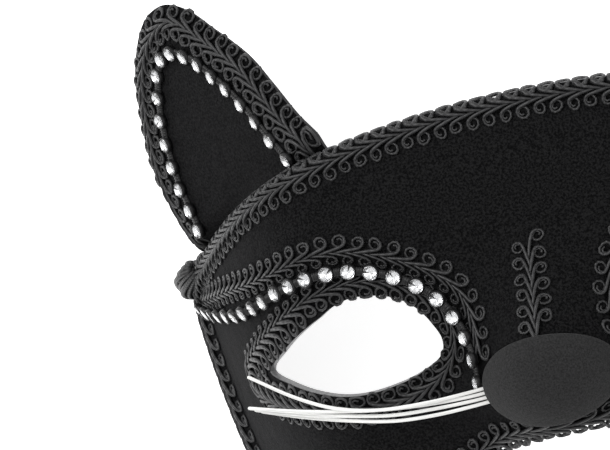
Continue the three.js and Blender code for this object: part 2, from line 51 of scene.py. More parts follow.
back = Vector((math.sin(TURN) * math.cos(RISE), math.sin(RISE), math.cos(TURN) * math.cos(RISE)))
level = Vector((math.cos(TURN), 0, -math.sin(TURN)))
across = level * math.cos(ROLL) - back.cross(level) * math.sin(ROLL)
camera = bpy.data.objects.new("camera", bpy.data.cameras.new("camera"))
camera.data.lens = LENS
camera.matrix_world = Matrix((across, back.cross(across), back)).transposed().to_4x4()
camera.location = LOOK_AT + back * DISTANCE
bpy.context.collection.objects.link(camera)
bpy.context.scene.camera = camera


# The moulded half mask
# A stiff form covered in black velvet, which is turned over the edge and round the eye holes.
# It is drawn in millimetres, as the solid is: X = 0 is the middle, Y = 0 the level of the nose.
MM = 0.001
WELD = 1e-6
CURVE_STEPS = 16
MIDDLE_Y = 28.6
BROW_HEIGHT = 55
BROW_LEVEL = 38
CHEEK_FALL = 0.004
FLAT_HALF_WIDTH = 44
SIDE_FALL = 0.064
SIDE_POWER = 1.76
NOSE_RISE = 18
NOSE_ROOT = 31
NOSE_HALF_WIDTH_ROOT = 10
NOSE_HALF_WIDTH_TIP = 16
NOSE_TUCK = 14
NOSE_TUCK_SHARE = 0.3
SHELL_THICKNESS = 1.8
SHELL_EDGE_ROUND = 0.5
RIM_HEIGHT = 1.7
TURNED_EDGE_STEPS = 3
TURNED_EDGE_ANGLE = math.radians(50)
VELVET_OUTSETS = (0.6, 0, 0.2, 0)
VELVET_OUTSET_FADE = 3
TOP_FROM = 34
TOP_FADE = 3
SIDE_FROM = -70
SIDE_FADE = 10
SIDE_FLARE = 1.3
FLARE_DEPTH = 4.4
FLARE_FADE = 3
EYE_VELVET_OUTSET = 1.15
EYE_OUTSET_FROM = (-58, 6)
EYE_OUTSET_FADE = (10, 8)
SPOKES = (60, 30, 72, 48)
SHELL_ROWS = 26
EYE_CENTRE = np.array([-44, 12.5])
TOP_EDGE = [
    (0, 57.2), (-10, 57), (-21, 56.2), (-31, 55), (-41, 53.2), (-51, 50.6),
    (-60, 47.5), (-68, 44), (-75, 40.4), (-81, 37.1), (-86, 33.4), (-88.8, 29.2),
]
RIM_LEVELS = (23, 15, 7, -1, -9, -17)
BOTTOM_EDGE = [
    (-80.9, -24), (-77.8, -28.6), (-72, -31.8), (-64, -33.2), (-55, -32.6), (-46, -30.2),
    (-37, -26.2), (-29, -21.4), (-22, -17.2), (-15, -14.5), (-8, -13.4), (0, -13.2),
]
EYE_HOLE = [
    (-67.2, 9.8), (-61, 14), (-55.2, 17.3), (-50.1, 20.4), (-45.1, 22.8), (-40.6, 23.8),
    (-35.5, 23.3), (-30.9, 21.8), (-26.8, 18.9), (-23.8, 14.4), (-22.8, 10.6), (-24.3, 7.2),
    (-30.7, 3.8), (-37, 2.3), (-43, 1.8), (-48.9, 2.4), (-55, 4), (-61.6, 6.6),
]


def placed(points):
    """Drawn millimetres as metres in the frame, whose origin is the middle of the footprint."""
    return (points - np.array([0, MIDDLE_Y, 0])) * MM


def smoothstep(value):
    """Rises smoothly from 0 to 1 as the value does."""
    t = np.clip(value, 0, 1)
    return t * t * (3 - 2 * t)


def brow_height(y):
    return BROW_HEIGHT - CHEEK_FALL * (y - BROW_LEVEL) ** 2


def face(x, y):
    """Points of the face's front, for arrays of x and y."""
    down = np.clip((NOSE_ROOT - y) / NOSE_ROOT, 0, 1)
    half_width = NOSE_HALF_WIDTH_ROOT + (NOSE_HALF_WIDTH_TIP - NOSE_HALF_WIDTH_ROOT) * down
    tuck = 1 - NOSE_TUCK_SHARE * np.clip(-y / NOSE_TUCK, 0, 1) ** 2
    nose = NOSE_RISE * smoothstep(down) * tuck * np.exp(-((x / half_width) ** 2))
    side = np.maximum(0, np.abs(x) - FLAT_HALF_WIDTH)
    return np.stack([x, y, brow_height(y) - SIDE_FALL * side ** SIDE_POWER + nose], -1)


def rim_point(y):
    """Where the face comes down to its rim at this level."""
    side = ((brow_height(y) - RIM_HEIGHT) / SIDE_FALL) ** (1 / SIDE_POWER)
    return (-(FLAT_HALF_WIDTH + side), y)


def smooth_path(points, closed):
    """A curve through the points, CURVE_STEPS for each span, that doesn't swing past them."""
    points = np.array(points, float)
    if closed:
        ring = points[np.arange(-1, len(points) + 2) % len(points)]
    else:
        ring = np.vstack([2 * points[0] - points[1], points, 2 * points[-1] - points[-2]])
    t = np.linspace(0, 1, CURVE_STEPS, endpoint=False)[:, None]
    spans = []
    for a, b, c, d in zip(ring, ring[1:], ring[2:], ring[3:]):
        ab, bc, cd = (np.linalg.norm(q - p) ** 0.5 for p, q in ((a, b), (b, c), (c, d)))
        leave = ((b - a) / ab - (c - a) / (ab + bc) + (c - b) / bc) * bc
        arrive = ((c - b) / bc - (d - b) / (bc + cd) + (d - c) / cd) * bc
        from_b = (1 + 2 * t) * (1 - t) ** 2 * b + t * (1 - t) ** 2 * leave
        spans.append(from_b + t * t * (3 - 2 * t) * c + t * t * (t - 1) * arrive)
    return np.vstack([*spans, spans[0][:1] if closed else points[-1:]])


def measured(surface, points, closed=False):
    """The fine curve through the points, and how far along it each of them is, over the surface."""
    fine = smooth_path(points, closed)
    steps = np.linalg.norm(np.diff(surface(*fine.T), axis=0), axis=1)
    return fine, np.concatenate([[0], np.cumsum(steps)])


def at_lengths(fine, gone, wanted):
    """The points of the curve that lie these lengths along it."""
    return np.stack([np.interp(wanted, gone, fine[:, 0]), np.interp(wanted, gone, fine[:, 1])], -1)


def even_run(surface, points, count):
    fine, gone = measured(surface, points)
    return at_lengths(fine, gone, np.linspace(0, gone[-1], count + 1))


def normals(surface, u, v):
    """How the surface runs with u and with v, and the way that it faces."""
    step = 0.05
    along_u = (surface(u + step, v) - surface(u - step, v)) / (2 * step)
    along_v = (surface(u, v + step) - surface(u, v - step)) / (2 * step)
    normal = np.cross(along_u, along_v)
    return along_u, along_v, normal / np.linalg.norm(normal, axis=-1, keepdims=True)


def drawn_grid(columns, rows, point_at):
    """A sheet of columns by rows whose corners lie where point_at puts them, in millimetres."""
    bm = bmesh.new()
    bm.loops.layers.uv.new("UVMap")
    bmesh.ops.create_grid(bm, x_segments=columns, y_segments=rows, size=0.5, calc_uvs=True)
    at = np.array([corner.co for corner in bm.verts]) + 0.5
    for corner, point in zip(bm.verts, point_at(at[:, 0], at[:, 1])):
        corner.co = point
    return bm


def finished(name, bm, *materials):
    """The bmesh as an object of the scene, with smooth faces."""
    mesh = bpy.data.meshes.new(name)
    for polygon in bm.faces:
        polygon.smooth = True
    bm.to_mesh(mesh)
    bm.free()
    for material in materials:
        mesh.materials.append(material)
    piece = bpy.data.objects.new(name, mesh)
    bpy.context.collection.objects.link(piece)
    return piece


def fitted(piece, slot, *nodes):
    """The piece takes the place of the solids; slot is not used."""
    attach(piece, "root")
    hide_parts(*nodes)


def new_material(name, finish):
    """A material whose shader has these plain values."""
    material = bpy.data.materials.new(name)
    material.use_nodes = True
    nodes = material.node_tree.nodes
    shader = nodes["Principled BSDF"]
    for socket, value in finish.items():
        shader.inputs[socket].default_value = value
    return material, nodes, material.node_tree.links, shader


def noise(nodes, links, coordinates, scale, detail, roughness):
    node = nodes.new("ShaderNodeTexNoise")
    node.inputs["Scale"].default_value = scale
    node.inputs["Detail"].default_value = detail
    node.inputs["Roughness"].default_value = roughness
    links.new(coordinates, node.inputs["Vector"])
    return node.outputs["Fac"]


def tinted(nodes, links, shader, source, span, dark, light):
    """Colours the shader from dark to light, as the source crosses the span."""
    node = nodes.new("ShaderNodeValToRGB")
    for element, position, colour in zip(node.color_ramp.elements, span, (dark, light)):
        element.position = position
        element.color = (*colour, 1)
    links.new(source, node.inputs["Fac"])
    links.new(node.outputs["Color"], shader.inputs["Base Color"])


def bump(nodes, links, shader, height, distance, strength, below=None):
    """Raises the surface by a pattern, on top of the bump below it."""
    node = nodes.new("ShaderNodeBump")
    node.inputs["Distance"].default_value = distance
    node.inputs["Strength"].default_value = strength
    links.new(height, node.inputs["Height"])
    if below is not None:
        links.new(below, node.inputs["Normal"])
    links.new(node.outputs["Normal"], shader.inputs["Normal"])
    return node.outputs["Normal"]


def velvet_material():
    """Short black pile: blotches where it is brushed flat, faint ribs of the backing, and grain."""
    material, nodes, links, shader = new_material("black_velvet", {
        "Roughness": 0.85, "Specular IOR Level": 0.06, "Sheen Weight": 0.024,
        "Sheen Roughness": 0.45, "Sheen Tint": (0.75, 0.75, 0.8, 1),
    })
    where = nodes.new("ShaderNodeTexCoord").outputs["Object"]
    blotches = noise(nodes, links, where, scale=95, detail=4, roughness=0.6)
    tufts = noise(nodes, links, where, scale=2000, detail=3, roughness=0.7)
    tinted(nodes, links, shader, tufts, (0.42, 0.6),
           dark=(0.0008, 0.0008, 0.001), light=(0.0095, 0.0095, 0.0098))
    stretched = nodes.new("ShaderNodeMapping")
    stretched.inputs["Rotation"].default_value = (0, 0, math.radians(-17))
    stretched.inputs["Scale"].default_value = (0.22, 1.9, 0.6)
    links.new(where, stretched.inputs["Vector"])
    ribs = noise(nodes, links, stretched.outputs["Vector"], scale=420, detail=2, roughness=0.5)
    under = bump(nodes, links, shader, ribs, distance=0.00025, strength=0.45)
    lay = bump(nodes, links, shader, blotches, distance=0.0012, strength=0.5, below=under)
    grain = noise(nodes, links, where, scale=4200, detail=2, roughness=0.6)
    bump(nodes, links, shader, grain, distance=0.00012, strength=0.6, below=lay)
    return material


def lining_material():
    """Thin black felt, glued inside the form."""
    material, nodes, links, shader = new_material(
        "black_lining", {"Roughness": 0.9, "Specular IOR Level": 0.2})
    where = nodes.new("ShaderNodeTexCoord").outputs["Object"]
    tufts = noise(nodes, links, where, scale=900, detail=4, roughness=0.65)
    tinted(nodes, links, shader, tufts, (0.3, 0.7),
           dark=(0.012, 0.012, 0.013), light=(0.024, 0.024, 0.025))
    bump(nodes, links, shader, tufts, distance=0.0003, strength=0.5)
    return material


def lip_material():
    """The satin that binds the cut edges of the form: smooth, with a soft shine.

    Its light grey colour is painted sheen: the glint that the edge catches at a grazing angle.
    """
    material, nodes, links, shader = new_material("satin_lip_painted_sheen", {"Roughness": 0.3})
    where = nodes.new("ShaderNodeTexCoord").outputs["Object"]
    threads = noise(nodes, links, where, scale=1500, detail=3, roughness=0.6)
    # Painted sheen: this light grey stands in for the glint of the edge in the light.
    tinted(nodes, links, shader, threads, (0.3, 0.7),
           dark=(0.09, 0.09, 0.092), light=(0.16, 0.16, 0.162))
    bump(nodes, links, shader, threads, distance=0.0001, strength=0.3)
    return material


def crossing(outline, centre, towards):
    """Where the ray from the centre leaves the closed outline."""
    start, end = outline[:-1] - centre, outline[1:] - centre
    way = towards - centre
    edge = end - start
    turned = way[0] * edge[:, 1] - way[1] * edge[:, 0]
    reach = (start[:, 0] * edge[:, 1] - start[:, 1] * edge[:, 0]) / turned
    share = (start[:, 0] * way[1] - start[:, 1] * way[0]) / turned
    slack = 1e-6
    hit = np.nonzero((reach > 0) & (share >= -slack) & (share <= 1 + slack))[0][0]
    return centre + way * reach[hit]


def at_top(at):
    return smoothstep((at[:, 1] - TOP_FROM) / TOP_FADE)


def flared(at, from_edge):
    """How far the side of the form is turned outwards, at points this far inside its edge."""
    side = smoothstep((SIDE_FROM - at[:, 0]) / SIDE_FADE) * (1 - at_top(at))
    return SIDE_FLARE * side * smoothstep((FLARE_DEPTH - from_edge) / FLARE_FADE)


def facing_up(bm):
    """The sheet with its faces all turned one way, which is mostly up."""
    bmesh.ops.recalc_face_normals(bm, faces=bm.faces)
    if sum(polygon.normal.z for polygon in bm.faces) < 0:
        bmesh.ops.reverse_faces(bm, faces=bm.faces)
    return bm


def shell_sheet():
    """The face's front: spokes from the left eye hole to the edge, and the same mirrored."""
    side = [TOP_EDGE[-1], *map(rim_point, RIM_LEVELS), BOTTOM_EDGE[0]]
    middle = [BOTTOM_EDGE[-1], (0, EYE_CENTRE[1]), TOP_EDGE[0]]
    runs = zip((TOP_EDGE, side, BOTTOM_EDGE, middle), SPOKES)
    outer = np.vstack([even_run(face, points, count)[:-1] for points, count in runs])
    eye = smooth_path(EYE_HOLE, True)
    inner = np.array([crossing(eye, EYE_CENTRE, point) for point in outer])
    # One spoke is moved to the outer corner of the eye hole, to keep it sharp.
    corner = np.argmin(np.linalg.norm(inner - EYE_HOLE[0], axis=1))
    inner[corner] = EYE_HOLE[0]
    inwards = (inner - outer) / np.linalg.norm(inner - outer, axis=1, keepdims=True)
    outset = np.repeat(VELVET_OUTSETS, SPOKES) * np.clip(-outer[:, 0] / VELVET_OUTSET_FADE, 0, 1)
    outer -= inwards * outset[:, None]
    fringe = smoothstep((inner - EYE_OUTSET_FROM) / EYE_OUTSET_FADE).prod(1)
    inner += inwards * EYE_VELVET_OUTSET * fringe[:, None]

    def point_at(around, out):
        spoke = np.rint(around * len(outer)).astype(int) % len(outer)
        at = inner[spoke] + (outer[spoke] - inner[spoke]) * out[:, None]
        from_edge = np.linalg.norm(face(*outer[spoke].T) - face(*at.T), axis=1)
        return placed(face(*at.T) + normals(face, *at.T)[2] * flared(at, from_edge)[:, None])

    bm = drawn_grid(len(outer), SHELL_ROWS, point_at)
    bmesh.ops.remove_doubles(bm, verts=bm.verts, dist=WELD)
    everything = bm.verts[:] + bm.edges[:] + bm.faces[:]
    bmesh.ops.mirror(bm, geom=everything, axis="X", merge_dist=10 * WELD)
    return facing_up(bm)


def thickened(piece, thickness, offset, rounding):
    """A wall behind the sheet, with its edges rounded as cloth turned over them is."""
    solidify = piece.modifiers.new("wall", "SOLIDIFY")
    solidify.thickness = thickness * MM
    solidify.offset = offset
    solidify.material_offset = 1
    solidify.material_offset_rim = len(piece.data.materials) - 1
    bevel = piece.modifiers.new("turned_edge", "BEVEL")
    bevel.width = rounding * MM
    bevel.segments = TURNED_EDGE_STEPS
    bevel.limit_method = "ANGLE"
    bevel.angle_limit = TURNED_EDGE_ANGLE


VELVET = velvet_material()
LINING = lining_material()
LIP = lip_material()
shell = finished("velvet_mask", shell_sheet(), VELVET, LINING, LIP)
thickened(shell, SHELL_THICKNESS, -1, SHELL_EDGE_ROUND)
fitted(shell, "velvet", "mask_shell")


# Ears
# Each is a stiff sheet covered in the same velvet, with a rim that rolls back, tucked and glued
# behind the top edge at the temple. Across and up are ways in the plane of the ear.
EAR_TURN = math.radians(38.6)
EAR_LEAN = math.radians(-7.2)
EAR_ORIGIN = np.array([-58, 43, 38.6])
EAR_THICKNESS = 1.4
EAR_SETBACK = 2.8
EAR_FOOT_BELOW = 1
EAR_FOOT_HEIGHT = 6
EAR_ROLL = 2.8
EAR_ROLL_WIDTH = 9
EAR_ROLL_MOST = 2
OUTER_ROLL = 0.8
OUTER_ROLL_FROM = -2
OUTER_ROLL_ACROSS = 20
TEMPLE_ROLL_MORE = 2.3
TEMPLE_ROLL_UP = 32
EAR_ROWS = 60
EAR_COLUMNS = 28
EAR_EDGE_ROUND = 0.4
INNER_VELVET_OUTSET = 0.1
OUTER_VELVET_OUTSET = 1.4
OUTER_VELVET_FROM = -6
OUTER_VELVET_ACROSS = 14
EDGE_ON_EAR_ACROSS = 20
EDGE_ON_EAR_UP = 10.2
EDGE_ON_EAR_SLOPE = 0.183
EDGE_ON_EAR_BEND = 0.0031
EAR_OUTLINE = [
    (-28.5, -10.5), (-33, -4.8), (-35.4, 0), (-36.8, 5.2), (-37.5, 10.4), (-37.2, 17.5),
    (-35, 26.7), (-31.7, 35.6), (-27.2, 41.7), (-22.9, 45.6), (-17.7, 48.2), (-13.4, 49.1),
    (-10, 48.4), (-6.9, 46.9), (-2.1, 42.9), (3.3, 38.8), (8.4, 34.2), (13.1, 27.4),
    (17.9, 20), (21.8, 15.6), (27.6, 7.6),
]

EAR_ACROSS = np.array([math.cos(EAR_TURN), 0, math.sin(EAR_TURN)])
EAR_UP = np.array([
    math.sin(EAR_TURN) * math.sin(EAR_LEAN), math.cos(EAR_LEAN),
    -math.cos(EAR_TURN) * math.sin(EAR_LEAN),
])
EAR_OUT = np.cross(EAR_ACROSS, EAR_UP)
EAR_EDGE = smooth_path(EAR_OUTLINE, False)
EAR_WAY = np.gradient(EAR_EDGE, axis=0)
EAR_WAY /= np.linalg.norm(EAR_WAY, axis=1, keepdims=True)
EAR_INWARDS = np.stack([EAR_WAY[:, 1], -EAR_WAY[:, 0]], -1)


def above_edge(a, b):
    """Height of a point of the ear's plane above the top edge of the face."""
    along = EDGE_ON_EAR_ACROSS - a
    return b - (EDGE_ON_EAR_UP - EDGE_ON_EAR_SLOPE * along - EDGE_ON_EAR_BEND * along * along)


def inside_ear(a, b):
    """Distance inside the ear's outline, less than nothing outside it."""
    shape = np.shape(a)
    at = np.stack([np.ravel(a), np.ravel(b)], -1)[:, None]
    start, end = EAR_EDGE[:-1], EAR_EDGE[1:]
    edge = end - start
    share = np.clip(((at - start) * edge).sum(-1) / (edge * edge).sum(-1), 0, 1)
    distance = np.linalg.norm(at - start - share[..., None] * edge, axis=-1).min(1)
    ring = np.vstack([EAR_EDGE, EAR_EDGE[:1]])
    p, q = ring[:-1], ring[1:]
    spans = (p[:, 1] > at[..., 1]) != (q[:, 1] > at[..., 1])
    rise = np.where(q[:, 1] == p[:, 1], 1, q[:, 1] - p[:, 1])
    left_of = at[..., 0] < (q[:, 0] - p[:, 0]) * (at[..., 1] - p[:, 1]) / rise + p[:, 0]
    inside = (spans & left_of).sum(1) % 2 == 1
    return np.where(inside, distance, -distance).reshape(shape)


def ear(a, b):
    """Points of the middle of the ear's sheet: behind the face at its foot, rolled at the rim."""
    flat = EAR_ORIGIN + a[..., None] * EAR_ACROSS + b[..., None] * EAR_UP
    above = above_edge(a, b)
    free = smoothstep((above + EAR_FOOT_BELOW) / EAR_FOOT_HEIGHT)
    normal = normals(face, flat[..., 0], flat[..., 1])[2]
    behind = SHELL_THICKNESS + EAR_SETBACK + EAR_THICKNESS / 2
    tucked = face(flat[..., 0], flat[..., 1])[..., 2] - behind / normal[..., 2]
    flat[..., 2] = tucked + (flat[..., 2] - tucked) * free
    roll = np.clip(1 - inside_ear(a, b) / EAR_ROLL_WIDTH, 0, EAR_ROLL_MOST)
    outer = smoothstep((OUTER_ROLL_FROM - a) / OUTER_ROLL_ACROSS)
    outer_depth = OUTER_ROLL + TEMPLE_ROLL_MORE * smoothstep(1 - above / TEMPLE_ROLL_UP)
    depth = EAR_ROLL + (outer_depth - EAR_ROLL) * outer
    return flat - EAR_OUT * (depth * free * roll * roll)[..., None]


def ear_sheet():
    """A ladder between the two sides of the ear, up to its tip, a little past the outline."""
    outer = smoothstep((OUTER_VELVET_FROM - EAR_EDGE[:, 0]) / OUTER_VELVET_ACROSS)
    outset = INNER_VELVET_OUTSET + (OUTER_VELVET_OUTSET - INNER_VELVET_OUTSET) * outer
    edge = EAR_EDGE - outset[:, None] * EAR_INWARDS
    gone = np.concatenate([[0], np.cumsum(np.linalg.norm(np.diff(edge, axis=0), axis=1))])
    sides = at_lengths(edge, gone, np.linspace(0, gone[-1], 2 * EAR_ROWS + 1))

    def point_at(across, up):
        rung = np.rint(up * EAR_ROWS).astype(int)
        left, right = sides[rung], sides[2 * EAR_ROWS - rung]
        at = left + (right - left) * across[:, None]
        return placed(ear(*at.T))

    bm = drawn_grid(EAR_COLUMNS, EAR_ROWS, point_at)
    bmesh.ops.remove_doubles(bm, verts=bm.verts, dist=WELD)
    return facing_up(bm)


def mirrored(piece, name):
    """The same piece for the right half."""
    bm = bmesh.new()
    bm.from_mesh(piece.data)
    bmesh.ops.scale(bm, vec=(-1, 1, 1), verts=bm.verts)
    bmesh.ops.reverse_faces(bm, faces=bm.faces)
    return finished(name, bm, *piece.data.materials)


def pair(stem, bm, *materials):
    """The left piece and its mirrored copy, each with the word for its side."""
    left = finished(f"{stem}_left", bm, *materials)
    return [("left", left), ("right", mirrored(left, f"{stem}_right"))]


for hand, piece in pair("velvet_ear", ear_sheet(), VELVET, LINING):
    thickened(piece, EAR_THICKNESS, 0, EAR_EDGE_ROUND)
    fitted(piece, "velvet", f"ear_{hand}")


# Loop braid
# A flat trim of black rayon cord. Its stems lie side by side like a fern's, and each one ends
# in a round loop, in a row along either side. It is drawn straight, then bent along its run.
LOOP_PITCH = 3.7
LOOP_RADIUS = 1.2
LOOP_CENTRE = 2.3
LOOP_START = math.radians(-72)
LOOP_CLOSED = math.radians(262)
CURL_END = math.radians(480)
CURL_RADIUS = 0.4
LOOP_CORD_RADIUS = 0.3
STEM_START = (-5.3, -0.2)
STEM_REACH = 2.6
STEM_RADIUS = 0.37
CORD_LIFT = 0.3
STEM_HUMP = 0.6
STEM_HUMP_SPAN = 0.7
LOOP_HUMP = 0.5
LOOP_HUMP_SPAN = 0.4
CURL_LIFT = 0.25
CORD_THINS_WITHIN = 0.3
CURL_THINNED = 0.8
STEM_RINGS = 4
LOOP_RINGS = 10
CURL_RINGS = 4
CORD_SIDES = 5
UNEVEN = 0.12
SHIFT_WAVE = 2.9
WIDTH_WAVE = 4.3
BRAID_START = 0.6
RUN_STEP = 0.3


def braid_material():
    """Shiny twisted cord: the plies show as slanting ridges along each strand."""
    material, nodes, links, shader = new_material("black_rayon_cord", {
        "Roughness": 0.45, "Specular IOR Level": 0.45, "Sheen Weight": 0.04, "Sheen Roughness": 0.4,
    })
    where = nodes.new("ShaderNodeTexCoord")
    shade = noise(nodes, links, where.outputs["Object"], scale=700, detail=3, roughness=0.6)
    tinted(nodes, links, shader, shade, (0.3, 0.7),
           dark=(0.006, 0.006, 0.0065), light=(0.02, 0.02, 0.021))
    slant = nodes.new("ShaderNodeMapping")
    slant.inputs["Scale"].default_value = (19, 1, 1)
    links.new(where.outputs["UV"], slant.inputs["Vector"])
    plies = nodes.new("ShaderNodeTexWave")
    plies.bands_direction = "DIAGONAL"
    plies.inputs["Scale"].default_value = 0.5
    plies.inputs["Distortion"].default_value = 0.4
    links.new(slant.outputs["Vector"], plies.inputs["Vector"])
    bump(nodes, links, shader, plies.outputs["Fac"], distance=0.00012, strength=0.5)
    return material


def cord_centre(wide, thick):
    """Ring by ring along one strand of the left row: its place along, across, above, and radius.

    The stem leaves the spine low down, rises over the stems behind it, goes once round the loop
    and ends in a small curl inside it. A wide loop is drawn out along the braid, and a thick one
    nearly fills its own hole.
    """
    turn = np.concatenate([
        np.linspace(LOOP_START, LOOP_CLOSED, LOOP_RINGS),
        np.linspace(LOOP_CLOSED, CURL_END, CURL_RINGS + 1)[1:],
    ])
    inwards = np.clip((turn - LOOP_CLOSED) / (CURL_END - LOOP_CLOSED), 0, 1)
    reach = LOOP_RADIUS + (CURL_RADIUS - LOOP_RADIUS) * inwards
    circle = np.stack([wide * np.cos(turn), np.sin(turn)], -1)
    loop = np.array([0, LOOP_CENTRE]) + reach[:, None] * circle
    way = np.array([-math.sin(LOOP_START), math.cos(LOOP_START)])
    go = np.linspace(0, 1, STEM_RINGS, endpoint=False)
    bend = loop[0] - STEM_REACH * way
    t = go[:, None]
    stem = (1 - t) ** 2 * STEM_START + 2 * t * (1 - t) * bend + t * t * loop[0]
    stem_lift = CORD_LIFT + STEM_HUMP * np.sin(go * math.pi * STEM_HUMP_SPAN)
    round_loop = (turn - LOOP_START) / (LOOP_CLOSED - LOOP_START)
    hump = LOOP_HUMP * (1 - smoothstep(round_loop / LOOP_HUMP_SPAN))
    lift = np.concatenate([stem_lift, CORD_LIFT + hump + CURL_LIFT * inwards])
    thin = smoothstep(np.concatenate([go * 0, round_loop / CORD_THINS_WITHIN]))
    radius = STEM_RADIUS + (LOOP_CORD_RADIUS * thick - STEM_RADIUS) * thin
    radius[-CURL_RINGS:] *= CURL_THINNED
    return np.column_stack([np.vstack([stem, loop]), lift]), radius


def tube(centre, radius, sides):
    """A round cord with closed ends along the points, with a radius for each of them."""
    along = np.gradient(centre, axis=0)
    along /= np.linalg.norm(along, axis=1, keepdims=True)
    beside = np.cross((0, 0, 1), along)
    beside /= np.linalg.norm(beside, axis=1, keepdims=True)
    above = np.cross(along, beside)

    def point_at(go, around):
        ring = np.rint(go * (len(centre) - 1)).astype(int)
        angle = around[:, None] * 2 * math.pi
        out = beside[ring] * np.cos(angle) + above[ring] * np.sin(angle)
        return centre[ring] + radius[ring, None] * out

    bm = drawn_grid(len(centre) - 1, sides, point_at)
    bmesh.ops.remove_doubles(bm, verts=bm.verts, dist=radius.min() * 0.01)
    bmesh.ops.holes_fill(bm, edges=bm.edges)
    bmesh.ops.recalc_face_normals(bm, faces=bm.faces)
    return bm


def strand(across, shift, wide, thick):
    """One strand with its loop, drawn straight."""
    centre, radius = cord_centre(wide, thick)
    return tube(centre * (1, across, 1) + (shift, 0, 0), radius, CORD_SIDES)


def together(shapes):
    """The shapes as one mesh."""
    mesh = bpy.data.meshes.new("together")
    joined = bmesh.new()
    for shape in shapes:
        shape.to_mesh(mesh)
        shape.free()
        joined.from_mesh(mesh)
    joined.to_mesh(mesh)
    joined.free()
    return mesh


def straight_braid(repeats, pitch, wide, thick):
    """A length of braid lying along X: strands of both rows, half a pitch apart, repeated."""
    left_row = strand(1, 0, wide[0], thick[0])
    right_row = strand(-1, pitch / 2, wide[1], thick[1])
    bm = bmesh.new()
    bm.from_mesh(together([left_row, right_row]))
    piece = finished("straight_braid", bm)
    array = piece.modifiers.new("repeats", "ARRAY")
    array.use_relative_offset = False
    array.use_constant_offset = True
    array.constant_offset_displace = (pitch, 0, 0)
    array.count = repeats
    bpy.context.view_layer.update()
    repeated = piece.evaluated_get(bpy.context.evaluated_depsgraph_get())
    mesh = bpy.data.meshes.new_from_object(repeated)
    bpy.data.objects.remove(piece)
    return mesh


def along_run(surface, fine, gone, closed, at):
    """Places along, across and above a run, as points over the surface, in millimetres."""
    total = gone[-1]

    def run(wanted):
        if closed:
            return at_lengths(fine, gone, wanted % total)
        inside = np.clip(wanted, 0, total)
        beyond = (wanted - inside)[:, None]
        first, last = fine[1] - fine[0], fine[-1] - fine[-2]
        way = np.where(beyond < 0, first / gone[1], last / (total - gone[-2]))
        return at_lengths(fine, gone, inside) + beyond * way

    far, across, lift = at.T
    here = run(far)
    forward = surface(*run(far + RUN_STEP).T) - surface(*run(far - RUN_STEP).T)
    along_u, along_v, normal = normals(surface, *here.T)
    left = np.cross(normal, forward)
    left /= np.linalg.norm(left, axis=1, keepdims=True)
    uu, uv, vv = (along_u ** 2).sum(1), (along_u * along_v).sum(1), (along_v ** 2).sum(1)
    du, dv = (along_u * left).sum(1), (along_v * left).sum(1)
    scale = across / (uu * vv - uv * uv)
    u = here[:, 0] + (du * vv - dv * uv) * scale
    v = here[:, 1] + (dv * uu - du * uv) * scale
    return surface(u, v) + normals(surface, u, v)[2] * lift[:, None]


def braid_on(name, surface, points, closed, shaped, start=BRAID_START, wide=(1, 1), thick=(1, 1)):
    """The braid bent along its run over the surface. shaped moves it before it is bent.

    wide draws out the loops of its left and its right row, thick is for their cord, and start is
    where the first ones lie.
    """
    fine, gone = measured(surface, points, closed)
    repeats = round(gone[-1] / LOOP_PITCH)
    pitch = gone[-1] / repeats
    mesh = straight_braid(repeats, pitch, wide, thick)
    at = np.zeros(len(mesh.vertices) * 3)
    mesh.vertices.foreach_get("co", at)
    at = at.reshape(-1, 3) + (pitch * start, 0, 0)
    at[:, 0] += UNEVEN * np.sin(at[:, 0] * SHIFT_WAVE / pitch) * at[:, 1] / LOOP_CENTRE
    at[:, 1] *= 1 + UNEVEN / 2 * np.sin(at[:, 0] * WIDTH_WAVE / pitch)
    at = shaped(at, fine, gone)
    points = along_run(surface, fine, gone, closed, at)
    # The mask lies on its rim, so no cord goes below the table.
    points[:, 2] = np.maximum(points[:, 2], 0)
    mesh.vertices.foreach_set("co", placed(points).ravel())
    mesh.update()
    mesh.name = name
    mesh.materials.append(CORD)
    piece = bpy.data.objects.new(name, mesh)
    bpy.context.collection.objects.link(piece)
    return piece


CORD = braid_material()


# Braid round the edge of the mask
# One length goes all round. Its outer loops are folded over the edge and glued down behind it,
# and at each temple it is gathered into a thick fold.
EDGE_SPINE = 2
FOLD_FROM = 0.5
FOLD_RADIUS = 0.35
EDGE_HANG = math.radians(64)
SLOPE_COUNTS = 1.35
EDGE_LOOP_WIDE = 1.2
EDGE_LOOP_THICK = 1.7
TEMPLE = (-86.9, 32.2)
BUNDLE_CORDS = 11
BUNDLE_CORD_RADIUS = 0.62
BUNDLE_HALF_LENGTH = 6.3
BUNDLE_STEPS = 18
BUNDLE_CENTRE = (-0.2, 2.7)
BUNDLE_HALF_WIDTH = 1.9
BUNDLE_HALF_HEIGHT = 2.5
BUNDLE_TWIST = 0.09
BUNDLE_LUMPS = 0.16
BUNDLE_LUMP_STEP = 2.4
BUNDLE_END = 0.45


def bent_down(from_edge, lift, angle):
    """Places across and above for braid that is bent down past an edge of the velvet."""
    past = np.maximum(0, FOLD_FROM - from_edge)
    turn = np.minimum(past / FOLD_RADIUS, angle)
    beyond = past - turn * FOLD_RADIUS
    radius = FOLD_RADIUS + lift
    out = FOLD_FROM - radius * np.sin(turn) - beyond * np.cos(turn)
    height = radius * np.cos(turn) - FOLD_RADIUS - beyond * np.sin(turn)
    return np.where(past > 0, out, from_edge), np.where(past > 0, height, lift)


def folded_over(at, fine, gone):
    """Braid past the edge is bent down over it, but lies flat where the face is steep anyway."""
    far, across, lift = at.T
    here = at_lengths(fine, gone, far % gone[-1])
    slope = np.arccos(normals(face, *here.T)[2][:, 2])
    angle = np.maximum(0, EDGE_HANG - slope * SLOPE_COUNTS * (1 - at_top(here)))
    from_edge = across + EDGE_SPINE
    sideways, upwards = bent_down(from_edge, lift + flared(here, from_edge), angle)
    return np.column_stack([far, sideways, upwards])


